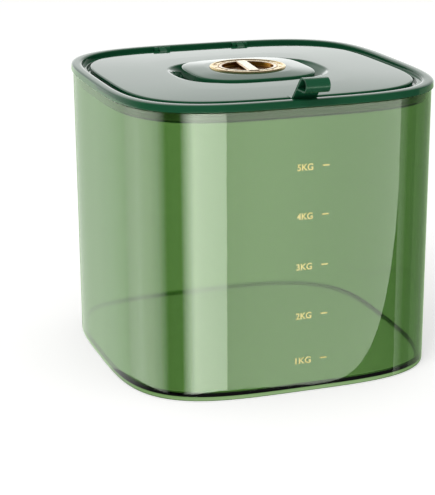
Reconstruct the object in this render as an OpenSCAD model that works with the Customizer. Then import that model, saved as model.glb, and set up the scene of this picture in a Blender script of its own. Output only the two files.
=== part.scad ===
// Rice bin with a flip lid. A square bin with soft corners carries a lid frame that plugs into its
// mouth. A hinged panel with a curled pull tab closes the frame, and a lift-out pad in the middle
// of the panel covers a moisture absorber and carries a month dial.
// Origin: centre of the base, on the table. +Z is up and the pull tab faces -Y.

/* [Bin] */
// Width and depth across the lid frame, the widest part
bin_w = 215; // [170:1:300]
// Height from the table to the crest of the lid frame
bin_h = 188; // [110:1:320]
// Squareness of the plan outline, where 2 would be a circle
corner_n = 3.7; // [2.8:0.1:5]
// Wall thickness of the bin
wall = 2.6; // [1.8:0.1:4]
// Thickness of the floor above the relief
floor_t = 2.2; // [2:0.1:6]
// Depth of the relief under the floor
relief_h = 2; // [0.6:0.1:3]
// Width of the foot ring outside the relief
foot_w = 3; // [2:0.5:20]
// Width of the flat seat in the middle of the underside
seat_w = 40; // [30:1:100]
// Length of the gentle slope from the seat up to the relief
seat_run = 26; // [5:1:40]
// How much narrower each side is at the table than at the mouth
draft = 1; // [0:0.1:3]
// Radius of the outer bottom edge
foot_r = 1.6; // [1:0.1:6]
// Radius where the wall meets the floor inside
floor_r = 3; // [2:0.5:14]

/* [Lid frame] */
// How far the frame stands out past the bin on each side
overhang = 1.1; // [0.5:0.1:3]
// Height of the visible band round the frame
band_h = 4.6; // [3.5:0.1:9]
// Width of the crest
crest_w = 6.4; // [5.5:0.1:9]
// Height of the low crown on the crest
crest_drop = 0.9; // [0.5:0.1:3]
// Width of the step between the crest and the panel
step_w = 3.2; // [2.8:0.1:5]
// Depth of the step below the crest
step_drop = 3.8; // [1.8:0.1:3.9]
// Width of the ledge that the panel closes on
ledge_w = 8.8; // [8:0.1:12]
// Thickness of the ledge
ledge_t = 2.2; // [1.6:0.1:4]
// Depth of the skirt that plugs into the bin
skirt_h = 7; // [6:0.5:20]
// Thickness of the skirt
skirt_t = 2.3; // [1.6:0.1:3]
// Width of the silicone sleeve between the skirt and the bin
sleeve_t = 1.55; // [1.2:0.05:2.5]
// How far the skirt's flange reaches out under the sleeve
flange_w = 0.7; // [0.4:0.1:0.9]
// Number of sealing lips round the sleeve
lips = 2; // [2:1:4]

/* [Flip panel] */
// Drop from the crest of the frame to the back edge of the panel
panel_drop = 2.3; // [2.2:0.1:5]
// Slope of the panel, which rises towards the pull tab
panel_a = 0.6; // [0:0.1:0.8]
// Thickness of the panel at its edge
panel_t = 2.9; // [2.7:0.1:5]
// Rise of the panel from its edge to the pad
crown = 0.5; // [0.2:0.1:2]
// Gap all round between the panel and the frame
edge_gap = 2.1; // [0.5:0.1:2.5]
// Distance from the panel's edge to its seal
seal_inset = 2.1; // [1.6:0.1:2.8]
// Width of the panel seal
seal_w = 3.4; // [2.4:0.1:4.2]
// Depth of the groove that holds the panel seal
groove_h = 1; // [0.6:0.1:1.6]
// Gap between the locating rib and the frame's mouth
rib_gap = 1.3; // [0.6:0.1:2]
// Height of the locating rib under the panel
rib_h = 3.2; // [2:0.1:6]
// Thickness of the locating rib
rib_t = 2.2; // [1.4:0.1:4]
// Distance between the two stiffening ribs on each side of the pad
stiff_pitch = 44; // [20:1:60]
// Height of the stiffening ribs below the panel's edge
stiff_h = 1.6; // [0.8:0.1:3]

/* [Hinge] */
// Distance from the centre line to each hinge
hinge_x = 29; // [15:1:60]
// Distance of the hinge axis behind the back edge of the panel
axis_back = 2.1; // [1.9:0.1:2.3]
// Height of the hinge axis above the edge of the panel
axis_rise = 0.6; // [0.4:0.1:0.8]
// Outer radius of the hinge knuckles
knuckle_r = 1.7; // [1.5:0.1:1.9]
// Diameter of each hinge pin
pin_d = 1.6; // [1.2:0.1:2]
// Width of the knuckle on the panel
knuckle_w = 5; // [4:0.5:10]
// Width of each lug on the frame
lug_w = 3; // [2:0.5:6]

/* [Pull tab] */
// Width of the tab
tab_w = 15.5; // [10:0.5:40]
// Clearance between the tab and its notch in the frame
tab_gap = 0.6; // [0.4:0.1:1.2]
// Thickness of the sloping strip
strip_t = 1.8; // [1.5:0.1:3.5]
// Slope of the strip from level
strip_a = 46; // [40:1:55]
// Wall of the curl
curl_t = 1.4; // [1.2:0.1:2.4]
// Height of the curl
curl_h = 8.8; // [8:0.1:14]
// Length of the flat under the curl
curl_l = 11; // [8:0.5:20]
// Height of the curl above the crest of the frame
curl_rise = 4.2; // [3:0.1:12]
// Radius where the back of the strip turns into the curl
bend_r = 4; // [2:0.5:6]
// Thickness of the foot that is set into the panel
tongue_t = 1.2; // [0.8:0.1:1.6]
// Length of the foot
tongue_l = 4.5; // [3:0.5:8]

/* [Pad and absorber] */
// Width and depth of the pad
pad_w = 81; // [66:1:95]
// Squareness of the pad's outline
pad_n = 3.2; // [2.6:0.1:4.5]
// Gap round the pad
pad_gap = 1.5; // [0.8:0.1:3]
// Height of the pad's edge above the panel beside it
pad_rise = 1.1; // [0.6:0.1:3]
// Rise of the pad from its edge to its middle
pad_crown = 1.4; // [0.5:0.1:3]
// Depth of the well that the pad sits in
well_h = 5.5; // [4.5:0.1:7]
// Width of the shelf that carries the pad
shelf_w = 7; // [6:0.5:10]
// Extra reach of the finger scoops on the left and right
scoop_w = 8; // [5:0.5:12]
// Depth of the absorber pocket below the shelf
pocket_h = 14; // [10:0.5:30]
// Wall thickness of the pad and the pocket
thin_t = 2; // [1.4:0.1:2.6]
// Wall thickness of the basket
basket_t = 1.4; // [1:0.1:2]
// Width of the vent slots
slot_w = 3; // [2:0.1:5]

/* [Dial] */
// Outer diameter of the dial bezel
dial_d = 50; // [36:1:54]
// Width of the bezel ring
bezel_w = 5.6; // [4:0.1:8]
// Depth of the round recess that holds the dial
dial_depth = 3.4; // [3:0.1:5]
// Width of the rim round the knob's two wells
knob_rim = 2.3; // [1.8:0.1:4]
// Thickness of the floor of the wells
dish_t = 0.7; // [0.6:0.1:1.2]
// Width of the grip bar across the knob
grip_w = 9.5; // [6:0.5:14]
// Direction in which the grip bar points at rest
grip_a = 84; // [0:1:179]
// Diameter of the knob's stem
stem_d = 8; // [6:0.5:12]
// Thickness of the spring clip on the stem
clip_t = 0.8; // [0.5:0.1:1.2]

/* [Hidden] */

seat = 0.3;          // clearance between pieces that only rest on each other
fit = 0.05;          // radial clearance on a pin or round a pressed-in piece
edge = 0.4;          // small broken edge
soft = 0.6;          // rounded edge that a hand touches
root = 0.5;          // how deep a rib or lug is rooted in the wall that carries it
sides = 76;          // points round each large outline, four quarters alike
pad_sides = 64;      // points round the outlines of the pad
$fn = 48;

// Plan half-widths, counted inwards from the outline of the frame
half = bin_w / 2;
bin_half = half - overhang;
inner_half = half - crest_w - step_w;
panel_half = inner_half - edge_gap;
mouth_half = inner_half - ledge_w;
skirt_out = bin_half - wall - seat - sleeve_t;
skirt_in = skirt_out - skirt_t;
seal_out = panel_half - seal_inset;
seal_in = seal_out - seal_w;
rib_out = mouth_half - rib_gap;
rib_in = rib_out - rib_t;

// Levels, counted down from the crest
crest_z = bin_h;
band_z = crest_z - band_h;
mouth_z = band_z - seat;
step_z = crest_z - step_drop;
panel_z = crest_z - panel_drop;
plate_z = panel_z - panel_t;   // underside of the panel
ledge_z = plate_z - 2 * seat;
skirt_z = band_z - skirt_h;
floor_z = relief_h + floor_t;

// Hinge
axis_y = panel_half + axis_back;
axis_z = panel_z + axis_rise;
arm_z = plate_z + panel_t / 2; // underside of the arms that carry the knuckles

// Pad, its well and the pocket under it
pad_half = pad_w / 2;
well_half = pad_half + pad_gap;
scoop_half = well_half + scoop_w;
pocket_half = pad_half - shelf_w;
rim_z = panel_z + crown;
pad_edge_z = rim_z + pad_rise;
pad_top_z = pad_edge_z + pad_crown;
shelf_z = rim_z - well_h;
pocket_z = shelf_z - pocket_h;
pad_foot_z = shelf_z + 2 * seat;
dial_z = pad_top_z - dial_depth;
deck_z = dial_z - thin_t;      // underside of the pad's top
basket_half = pocket_half - 1;
basket_z = pocket_z + 2 * seat;

// Dial
knob_d = dial_d - 2 * bezel_w;
knob_z = dial_z + seat;
knob_h = pad_top_z + seat - knob_z;
bezel_h = dial_depth + soft;
clip_z = deck_z - seat - clip_t;

function spow(v, e) = sign(v) * pow(abs(v), e);

// One closed outline: half-widths, squareness and level
function ring(hx, hy, n, z, k = sides) =
    [for (i = [0:k - 1]) let (t = 360 * i / k) [hx * spow(cos(t), 2 / n), hy * spow(sin(t), 2 / n), z]];

function even(p) = ring(p[0], p[0], corner_n, p[1]);
function pad_ring(h, z) = ring(h, h, pad_n, z, pad_sides);

// Part of an ellipse or of a circle round a centre, as k + 1 points
function bow(h, z, rh, rz, a0, a1, k) =
    [for (i = [0:k]) let (a = a0 + (a1 - a0) * i / k) [h + rh * cos(a), z + rz * sin(a)]];

function arc(h, z, r, a0, a1, k) = bow(h, z, r, r, a0, a1, k);

function flat(list) = [for (part = list) for (p = part) p];

// Triangles between m outlines of k points, with the last joined to the first if wrap is set
function skin(m, k, wrap) = [
    for (j = [0:(wrap ? m - 1 : m - 2)]) for (i = [0:k - 1])
        let (a = j * k, b = ((j + 1) % m) * k, c = (i + 1) % k)
        each [[a + i, b + c, a + c], [a + i, b + i, b + c]]
];

// Solid through a stack of outlines, closed by a cap at each end
module loft(rings) {
    k = len(rings[0]);
    m = len(rings);
    caps = [[for (i = [0:k - 1]) i], [for (i = [k - 1:-1:0]) (m - 1) * k + i]];
    polyhedron(points = flat(rings), faces = concat(skin(m, k, false), caps));
}

// Endless solid through a stack of outlines, the last joined to the first
module endless(rings) {
    polyhedron(points = flat(rings), faces = skin(len(rings), len(rings[0]), true));
}

// Endless rail: a closed section of [half, z] pairs carried round the plan outline
module rail(section, n = corner_n, k = sides) {
    endless([for (p = section) ring(p[0], p[0], n, p[1], k)]);
}

// Flat profile drawn in Y and Z, given a width along X
module across(width) {
    rotate([90, 0, 90]) translate([0, 0, -width / 2]) linear_extrude(width) children();
}

// The panel and all that it carries slope about the hinge
module sloped() {
    translate([0, axis_y, axis_z]) rotate([-panel_a, 0, 0]) translate([0, -axis_y, -axis_z]) children();
}

module rod(d, length) {
    rotate([0, 90, 0]) translate([0, 0, -length / 2]) cylinder(d = d, h = length);
}

// ---- Bin ----
module bin_body() {
    foot_half = bin_half - draft;
    relief_half = foot_half - foot_r - foot_w;
    floor_half = bin_half - draft * (1 - floor_z / mouth_z) - wall - floor_r;
    section = concat(
        [[seat_w / 2, 0], [seat_w / 2 + seat_run, relief_h]],
        [[relief_half - relief_h, relief_h], [relief_half, 0]],
        arc(foot_half - foot_r, foot_r, foot_r, -90, 0, 4),
        arc(bin_half - edge, mouth_z - edge, edge, 0, 90, 1),
        arc(bin_half - wall + edge, mouth_z - edge, edge, 90, 180, 1),
        arc(floor_half, floor_z + floor_r, floor_r, 0, -90, 4)
    );
    color([0.45, 0.62, 0.4, 0.5]) loft([for (p = section) even(p)]);
}

// ---- Lid frame ----
// Band and crest, from the foot of the band to the inner edge of the crest
crest_section = concat(
    [[half, band_z]],
    bow(half - crest_w / 2, crest_z - crest_drop, crest_w / 2, crest_drop, 0, 90, 4),
    bow(half - crest_w / 2, crest_z - crest_drop, crest_w / 2, crest_drop, 112.5, 180, 3)
);

// Step and ledge, which slope with the panel
ledge_section = concat(
    [[half - crest_w, step_z]],
    arc(inner_half + soft, step_z - soft, soft, 90, 180, 1),
    [[inner_half, ledge_z]],
    arc(mouth_half + edge, ledge_z - edge, edge, 90, 180, 1),
    [[mouth_half, ledge_z - ledge_t], [skirt_in, ledge_z - ledge_t]]
);

// Skirt with its flange, from the inside back up to the band
skirt_section = [
    [skirt_in, skirt_z],
    [skirt_out + flange_w, skirt_z],
    [skirt_out + flange_w, skirt_z + 1],
    [skirt_out, skirt_z + 1],
    [skirt_out, band_z]
];

function lean(p) = [p[0], p[1], p[2] + (axis_y - p[1]) * tan(panel_a)];

module frame_ring() {
    endless(concat(
        [for (p = crest_section) even(p)],
        [for (p = ledge_section) [for (q = even(p)) lean(q)]],
        [for (p = skirt_section) even(p)]
    ));
}

module at_hinges() {
    for (side = [-1, 1]) translate([side * hinge_x, axis_y, axis_z]) children();
}

// Two lugs beside each knuckle, standing on the step and backed by the crest
module frame_lugs() {
    foot = step_z - root - axis_z;
    back = half - crest_w + root - axis_y;
    at_hinges() for (side = [-1, 1]) translate([side * (knuckle_w / 2 + seat + lug_w / 2), 0, 0]) {
        rod(2 * knuckle_r, lug_w);
        translate([-lug_w / 2, -knuckle_r, foot]) cube([lug_w, back + knuckle_r, -foot]);
    }
}

// Room for the panel's knuckles and arms, open upwards
module hinge_pockets() {
    floor_y = panel_half - ledge_w / 2 - axis_y;
    low = arm_z - 2 * seat - axis_z;
    at_hinges() translate([-knuckle_w / 2 - seat, floor_y, low])
        cube([knuckle_w + 2 * seat, knuckle_r + seat - floor_y, crest_z - axis_z - low + 1]);
}

module lid_frame() {
    color([0.08, 0.25, 0.16]) difference() {
        union() {
            frame_ring();
            frame_lugs();
        }
        hinge_pockets();
        at_hinges() rod(pin_d, 2 * knuckle_w + 2 * lug_w);
        sloped() across(tab_w + 2 * tab_gap) tab_outline(tab_gap);
    }
}

// Sleeve with lips all round, held between the skirt's flange and the band
module frame_seal() {
    inside = skirt_out + fit;
    face = bin_half - wall - seat;
    low = skirt_z + 1 + fit;
    pitch = (band_z - fit - low) / lips;
    wave = [for (i = [0:2 * lips]) [face - (i % 2 == 0 ? sleeve_t / 2 : 0), low + i * pitch / 2]];
    color([0.86, 0.9, 0.86]) rail(concat([[inside, low]], wave, [[inside, band_z - fit]]));
}

// ---- Flip panel ----
function crown_z(h) = rim_z - crown * (pow(h / panel_half, 2.4) - pow(well_half / panel_half, 2.4))
    / (1 - pow(well_half / panel_half, 2.4));

module panel_plate() {
    pocket_out = pocket_half + thin_t;
    shelf_out = well_half + thin_t;
    scoop_n = pad_n - 0.5;
    loft(concat(
        [for (p = arc(pocket_out - thin_t, pocket_z, thin_t, -90, 0, 1)) ring(p[0], p[0], pad_n, p[1])],
        [ring(pocket_out, pocket_out, pad_n, shelf_z - thin_t)],
        [ring(shelf_out, shelf_out, pad_n, shelf_z - thin_t)],
        [ring(scoop_half + thin_t, shelf_out + 1, scoop_n, rim_z - panel_t)],
        [for (p = [[rib_in, arm_z - root], [rib_in, plate_z - rib_h]]) even(p)],
        [for (p = [[rib_out, plate_z - rib_h], [rib_out, plate_z]]) even(p)],
        [for (p = [[seal_in, plate_z], [seal_in, plate_z + groove_h]]) even(p)],
        [for (p = [[seal_out, plate_z + groove_h], [seal_out, plate_z]]) even(p)],
        [for (p = arc(panel_half - soft, plate_z + soft, soft, -90, 0, 1)) even(p)],
        [for (p = bow(panel_half - 2 * soft, panel_z - soft, 2 * soft, soft, 0, 90, 2)) even(p)],
        [for (h = [0.88, 0.72] * panel_half) even([h, crown_z(h)])],
        [ring(scoop_half + 1, well_half + 1, scoop_n, rim_z - 0.1)],
        [ring(scoop_half, well_half + 0.2, scoop_n, rim_z - soft)],
        [ring(well_half, well_half, pad_n, shelf_z + soft), ring(well_half, well_half, pad_n, shelf_z)],
        [ring(pocket_half, pocket_half, pad_n, shelf_z), ring(pocket_half, pocket_half, pad_n, pocket_z)]
    ));
}

// Arm from the panel's back edge up to each knuckle
module panel_arms() {
    wide = knuckle_r * cos(45);
    back = panel_half - axis_y;
    at_hinges() across(knuckle_w) {
        circle(r = knuckle_r);
        polygon([[back - 3, -axis_rise - 0.1], [-wide, wide], [wide, -wide], [back - soft, arm_z - axis_z]]);
    }
}

// Ribs from the wall of the pad's well out to the locating rib
module stiff_ribs() {
    start = well_half + thin_t - root;
    reach = rib_in + root - start;
    low = plate_z - stiff_h;
    for (quarter = [0:3]) for (side = [-1, 1]) rotate([0, 0, 90 * quarter])
        translate([start, side * stiff_pitch / 2 - thin_t / 2, low])
        cube([reach, thin_t, arm_z - low]);
}

// Row of slots through a floor between two levels
module vent_slots(reach, z0, z1) {
    count = floor(reach / slot_w);
    pitch = 2 * reach / count;
    for (i = [0:count - 1]) translate([(i + 0.5) * pitch - reach - slot_w / 2, -reach, z0])
        cube([slot_w, 2 * reach, z1 - z0]);
}

module flip_panel() {
    color([0.08, 0.25, 0.16]) sloped() difference() {
        union() {
            panel_plate();
            panel_arms();
            stiff_ribs();
        }
        at_hinges() rod(pin_d + 2 * fit, 2 * knuckle_w);
        vent_slots(pocket_half * 0.76, pocket_z - 2 * thin_t, pocket_z + 1);
        translate([-tab_w / 2 - fit, -panel_half - 1, panel_z - tongue_t - fit])
            cube([tab_w + 2 * fit, 1 + tongue_l + fit, tongue_t + crown + 1]);
    }
}

module panel_seal() {
    face = plate_z - seat;
    color([0.86, 0.9, 0.86]) sloped() rail([
        [seal_in + fit, plate_z + groove_h],
        [seal_in + fit, plate_z],
        [seal_in + 1, face],
        [seal_out - 1, face],
        [seal_out - fit, plate_z],
        [seal_out - fit, plate_z + groove_h]
    ]);
}

module hinge_pin(side) {
    color([0.8, 0.8, 0.82]) translate([side * hinge_x, axis_y, axis_z])
        rod(pin_d, knuckle_w + 2 * seat + 2 * lug_w);
}

// ---- Pull tab ----
tab_lift = (half + axis_y) * tan(panel_a); // what the slope adds at the tab
nose_r = curl_h / 2;
foot_z = panel_z - tongue_t + 0.2;
curl_z = crest_z + curl_rise;
nose_z = curl_z + nose_r;
nose_y = strip_at(curl_z) - curl_l;

// Front face of the strip, which passes the crest's inner edge
function strip_at(z) = -half + crest_w - 0.2 - (z + tab_lift - crest_z) / tan(strip_a);

// Outline of the strip and curl, grown by g
module tab_outline(g) {
    front = g / sin(strip_a);
    back = (strip_t + g) / sin(strip_a);
    top_z = curl_z + curl_h + g;
    turn_y = strip_at(top_z) + back - (bend_r + g) * tan(strip_a / 2);
    polygon(concat(
        [[strip_at(foot_z) - front, foot_z], [strip_at(foot_z) + back, foot_z]],
        arc(turn_y, top_z - bend_r - g, bend_r + g, 90 - strip_a, 90, 4),
        arc(nose_y, nose_z, nose_r + g, 90, 270, 14),
        [[strip_at(curl_z - g) - front, curl_z - g]]
    ));
}

module pull_tab() {
    low = curl_z + curl_t;
    high = curl_z + curl_h - curl_t;
    color([0.09, 0.3, 0.19]) sloped() across(tab_w) difference() {
        union() {
            tab_outline(0);
            translate([strip_at(foot_z), panel_z - tongue_t])
                square([tongue_l - panel_half - strip_at(foot_z), tongue_t + 0.2]);
        }
        polygon(concat(
            arc(nose_y, nose_z, nose_r - curl_t, 90, 270, 14),
            [[strip_at(low) - edge, low], [strip_at(high) - edge, high]]
        ));
    }
}

// ---- Pad, dial and absorber ----
function pad_z(h) = pad_edge_z + pad_crown * (1 - pow(max(0, h - dial_d / 2) / (pad_half - dial_d / 2), 1.6));

module pad_cover() {
    side_r = 1.4;
    color([0.08, 0.25, 0.16]) sloped() difference() {
        loft(concat(
            [for (p = arc(pad_half - edge, pad_foot_z + edge, edge, -90, 0, 1)) pad_ring(p[0], p[1])],
            [for (p = arc(pad_half - side_r, pad_edge_z - side_r, side_r, 0, 90, 2)) pad_ring(p[0], p[1])],
            [for (h = [pad_half - 5, pad_half - 10]) pad_ring(h, pad_z(h))]
        ));
        loft([pad_ring(pad_half - thin_t, pad_foot_z - 1), pad_ring(pad_half - thin_t, deck_z)]);
        translate([0, 0, dial_z]) cylinder(d = dial_d + 2 * fit, h = 2 * dial_depth, $fn = 96);
        cylinder(d = stem_d + 2 * fit, h = 2 * bin_h);
    }
}

module pad_seal() {
    top = deck_z - basket_t;
    inner = pocket_half + 1;
    outer = pad_half - thin_t - soft;
    low = shelf_z + seat;
    section = [[inner, top], [inner, low], [outer, low], [outer, top]];
    color([0.86, 0.9, 0.86]) sloped() rail(section, pad_n, pad_sides);
}

// Ring with a raised lip outside and a flat face for the months
module dial_bezel() {
    outer = dial_d / 2;
    inner = knob_d / 2 + seat;
    face_z = bezel_h - edge;
    lip = outer - 3 * soft;
    color([0.93, 0.84, 0.6]) sloped() translate([0, 0, dial_z]) rotate_extrude($fn = 96) polygon(concat(
        [[inner, 0], [outer, 0]],
        arc(outer - soft, bezel_h - soft, soft, 0, 90, 3),
        [[lip + edge, bezel_h], [lip, face_z]],
        arc(inner + soft, face_z - soft, soft, 90, 180, 3)
    ));
}

// Dish whose floor the grip bar divides into two wells
module knob_dish() {
    outer = knob_d / 2;
    well = outer - knob_rim;
    rotate_extrude($fn = 96) polygon(concat(
        [[0, 0], [outer, 0]],
        arc(outer - soft, knob_h - soft, soft, 0, 90, 3),
        [[well + edge, knob_h], [well, knob_h - edge]],
        arc(well - 1.5, dish_t + 1, 1, -30, -90, 3),
        [[0, dish_t]]
    ));
}

// Bar across the dish, with rounded long edges, flush with the dish's rim
module grip_bar() {
    reach = knob_d / 2 - 1;
    round_r = 1.2;
    side = grip_w / 2 - round_r;
    top = knob_h + seat - round_r;
    intersection() {
        cylinder(r = reach, h = 2 * knob_h, $fn = 96);
        rotate([90, 0, 90 + grip_a]) translate([0, 0, -reach]) linear_extrude(2 * reach) polygon(concat(
            [[-grip_w / 2 - seat, 0.3], [grip_w / 2 + seat, 0.3]],
            arc(side, top, round_r, 0, 90, 4),
            arc(-side, top, round_r, 90, 180, 4)
        ));
    }
}

module washer(outer, inner, h) {
    difference() {
        cylinder(d = outer, h = h);
        translate([0, 0, -1]) cylinder(d = inner, h = h + 2);
    }
}

module dial_knob() {
    stem_z = clip_z - clip_t;
    color([0.83, 0.66, 0.3]) sloped() difference() {
        union() {
            translate([0, 0, knob_z]) knob_dish();
            translate([0, 0, knob_z]) grip_bar();
            translate([0, 0, stem_z]) cylinder(d = stem_d, h = knob_z - stem_z + root);
        }
        translate([0, 0, clip_z]) washer(stem_d + 2, stem_d - 2, clip_t);
    }
}

// Open ring that snaps into the groove round the stem
module dial_clip() {
    mouth = stem_d - 3;
    color([0.75, 0.76, 0.78]) sloped() translate([0, 0, clip_z + fit]) difference() {
        washer(stem_d + 5, stem_d - 2 + 2 * fit, clip_t - 2 * fit);
        rotate([0, 0, grip_a]) translate([0, -mouth / 2, -1]) cube([stem_d, mouth, clip_t + 2]);
    }
}

module absorber_basket() {
    lip = pad_half - thin_t - seat;
    lip_z = deck_z - basket_t;
    inside = basket_half - basket_t;
    floor_top = basket_z + basket_t;
    color([0.85, 0.87, 0.84]) sloped() difference() {
        loft([
            pad_ring(basket_half - 1, basket_z),
            pad_ring(basket_half, basket_z + 1),
            pad_ring(basket_half, lip_z),
            pad_ring(lip, lip_z),
            pad_ring(lip, deck_z),
            pad_ring(inside, deck_z),
            pad_ring(inside, floor_top)
        ]);
        vent_slots(basket_half * 0.76, basket_z - 1, floor_top + 1);
    }
}

// Pillow-shaped pouch on the floor of the basket
module desiccant_sachet() {
    wide = basket_half - basket_t - 3.6;
    low = basket_z + basket_t + fit;
    pillow = [[wide - 4, low], [wide, low + 2.2], [wide, low + 3.2], [wide - 4, low + 6.6]];
    color([0.95, 0.95, 0.92]) sloped() loft([for (p = pillow) ring(p[0], p[0], pad_n, p[1], 48)]);
}

bin_body();
lid_frame();
frame_seal();
flip_panel();
panel_seal();
hinge_pin(-1);  // hinge_pin_left
hinge_pin(1);  // hinge_pin_right
pull_tab();
pad_cover();
pad_seal();
dial_bezel();
dial_knob();
dial_clip();
absorber_basket();
desiccant_sachet();
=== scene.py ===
import math

import bmesh
import bpy
from mathutils import Matrix, Vector


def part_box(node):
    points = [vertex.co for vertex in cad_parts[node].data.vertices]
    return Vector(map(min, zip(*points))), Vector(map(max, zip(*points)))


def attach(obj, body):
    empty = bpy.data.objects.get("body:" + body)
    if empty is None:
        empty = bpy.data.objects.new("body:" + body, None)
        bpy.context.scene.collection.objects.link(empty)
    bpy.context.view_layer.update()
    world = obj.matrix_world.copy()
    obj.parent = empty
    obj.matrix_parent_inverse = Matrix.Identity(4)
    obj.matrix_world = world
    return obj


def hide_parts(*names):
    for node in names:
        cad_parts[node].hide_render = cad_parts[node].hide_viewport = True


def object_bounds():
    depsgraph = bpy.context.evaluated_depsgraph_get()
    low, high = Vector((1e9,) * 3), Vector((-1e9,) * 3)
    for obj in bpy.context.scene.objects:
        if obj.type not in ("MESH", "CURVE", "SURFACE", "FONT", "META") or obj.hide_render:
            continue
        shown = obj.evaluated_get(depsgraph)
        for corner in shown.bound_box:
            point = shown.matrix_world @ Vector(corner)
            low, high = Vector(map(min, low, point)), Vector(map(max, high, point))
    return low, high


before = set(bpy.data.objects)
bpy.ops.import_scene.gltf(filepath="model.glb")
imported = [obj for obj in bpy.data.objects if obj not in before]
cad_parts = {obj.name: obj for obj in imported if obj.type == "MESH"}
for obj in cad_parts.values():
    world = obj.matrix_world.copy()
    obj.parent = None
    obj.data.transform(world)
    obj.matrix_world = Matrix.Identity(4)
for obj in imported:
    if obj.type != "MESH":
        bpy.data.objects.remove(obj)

# Rice bin with a flip lid: a clear green bin, a dark green lid and a gold month dial.
# Lengths are in metres, and mm turns millimetres into metres.
mm = 0.001
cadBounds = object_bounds()
print("frame loaded")

view = {
    "place": (-0.36627, -1.00898, 0.38927),
    "turn": 19.95,              # degrees that it looks to the right of straight ahead
    "tilt": 15.91,              # degrees that it looks down
    "lens": 120.12,
    "sensor": 36,
    "shift": (-0.0608, -0.0526),
    "nearest": 0.01,
}


def addObject(name, data):
    thing = bpy.data.objects.new(name, data)
    bpy.context.scene.collection.objects.link(thing)
    return thing


def addCamera():
    data = bpy.data.cameras.new("camera")
    data.lens = view["lens"]
    data.sensor_width = view["sensor"]
    data.shift_x, data.shift_y = view["shift"]
    data.clip_start = view["nearest"]
    camera = addObject("camera", data)
    camera.location = view["place"]
    camera.rotation_euler = (math.radians(90 - view["tilt"]), 0, -math.radians(view["turn"]))
    bpy.context.scene.camera = camera


addCamera()
bpy.context.scene.view_settings.view_transform = "Standard"
print("camera placed")


# Adds a node with its settings, input values and links
def addNode(tree, kind, settings=None, inputs=None, links=None):
    node = tree.nodes.new(kind)
    for name, value in (settings or {}).items():
        setattr(node, name, value)
    for name, value in (inputs or {}).items():
        node.inputs[name].default_value = value
    for name, socket in (links or {}).items():
        tree.links.new(socket, node.inputs[name])
    return node


# Linear colour from an sRGB hex code
def linear(code):
    channels = [int(code[i:i + 2], 16) / 255 for i in (0, 2, 4)]
    return (*[c / 12.92 if c <= 0.04045 else ((c + 0.055) / 1.055) ** 2.4 for c in channels], 1)


def emptyTree(owner):
    owner.use_nodes = True
    owner.node_tree.nodes.clear()
    return owner.node_tree


def newMaterial(name, surface):
    material = bpy.data.materials.new(name)
    tree = emptyTree(material)
    principled = addNode(tree, "ShaderNodeBsdfPrincipled", inputs=surface)
    output = addNode(tree, "ShaderNodeOutputMaterial", links={"Surface": principled.outputs["BSDF"]})
    return material, tree, principled, output


studio = {
    "floorColour": "F4F4F2",
    "floorHalf": 6,
    "floorGap": 0.02 * mm,      # keeps the floor off the foot of the bin
    "floorGlow": 0.42,          # what the camera sees on top of the lit floor
    "ambient": 0.62,            # world light that reaches matt surfaces
    "lampPower": 9,
    "lampPlace": (-0.9, -0.9, 1.5),
    "lampAim": (0, 0, 0.1),
    "lampSize": 0.9,
    "backLow": 1.9,             # brightness that gloss picks up behind the bin, just above level
    "backMiddle": 0.85,
    "backHigh": 0.5,
    "lowEnds": (0.1, 0.24),     # where low turns to middle, on a scale of 0 for level to 1 for straight up
    "highEnds": (0.24, 0.7),
    "below": 0.5,               # share that is left well below level
    "belowEnds": (-0.1, 0.0),
    "frontDim": 0.14,           # share that is left in front of the bin
    "cardDistance": 1.6,
    "cardTop": -0.11,           # a higher end would show in the lid's outer face
    "cardFoot": -0.611,
    "cardTint": "F5FFEE",
    "cardSteps": 4,             # fewest along a card, otherwise one a degree
}

# Cards round the bin that only gloss sees, from behind by the left, the front and the right to behind again.
# To is the bearing where one ends and the next begins, in degrees from the front. Glow is the brightness at
# both ends. Corner rounds a card's lower right: its width in degrees, its height and its squareness.
cards = [
    {"name": "leftCard", "to": -160, "glow": (1.25, 1.3), "top": 0.05, "foot": -1.5, "tint": "ECFFE4"},
    {"name": "leftFade", "to": -131, "glow": (1.3, 2.4), "tint": "ECFFE4"},
    {"name": "sideRise", "to": -108, "glow": (2.4, 4.7)},
    {"name": "sideCard", "to": -86, "glow": (4.5, 4.3)},
    {"name": "sideFade", "to": -75, "glow": (4.2, 3.3)},
    {"name": "sideEdge", "to": -61, "glow": (3.3, 0.0)},
    {"name": "leftFlag", "to": -41, "glow": (0.0, 0.0)},
    {"name": "stripRise", "to": -26, "glow": (0.3, 10.2)},
    {"name": "stripCard", "to": 0.5, "glow": (10.8, 8.2)},
    {"name": "frontCard", "to": 55.5, "glow": (3.3, 4.4), "corner": (38, 0.34, 1.6)},
    {"name": "rightEdge", "to": 66, "glow": (1.5, 0.3)},
    {"name": "rightFlag", "to": 80, "glow": (0.2, 0.3)},
    {"name": "rightCard", "to": 180, "glow": (0.75, 0.8), "top": 0.05, "foot": -1.5, "tint": "D4F2C4"},
]


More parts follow.
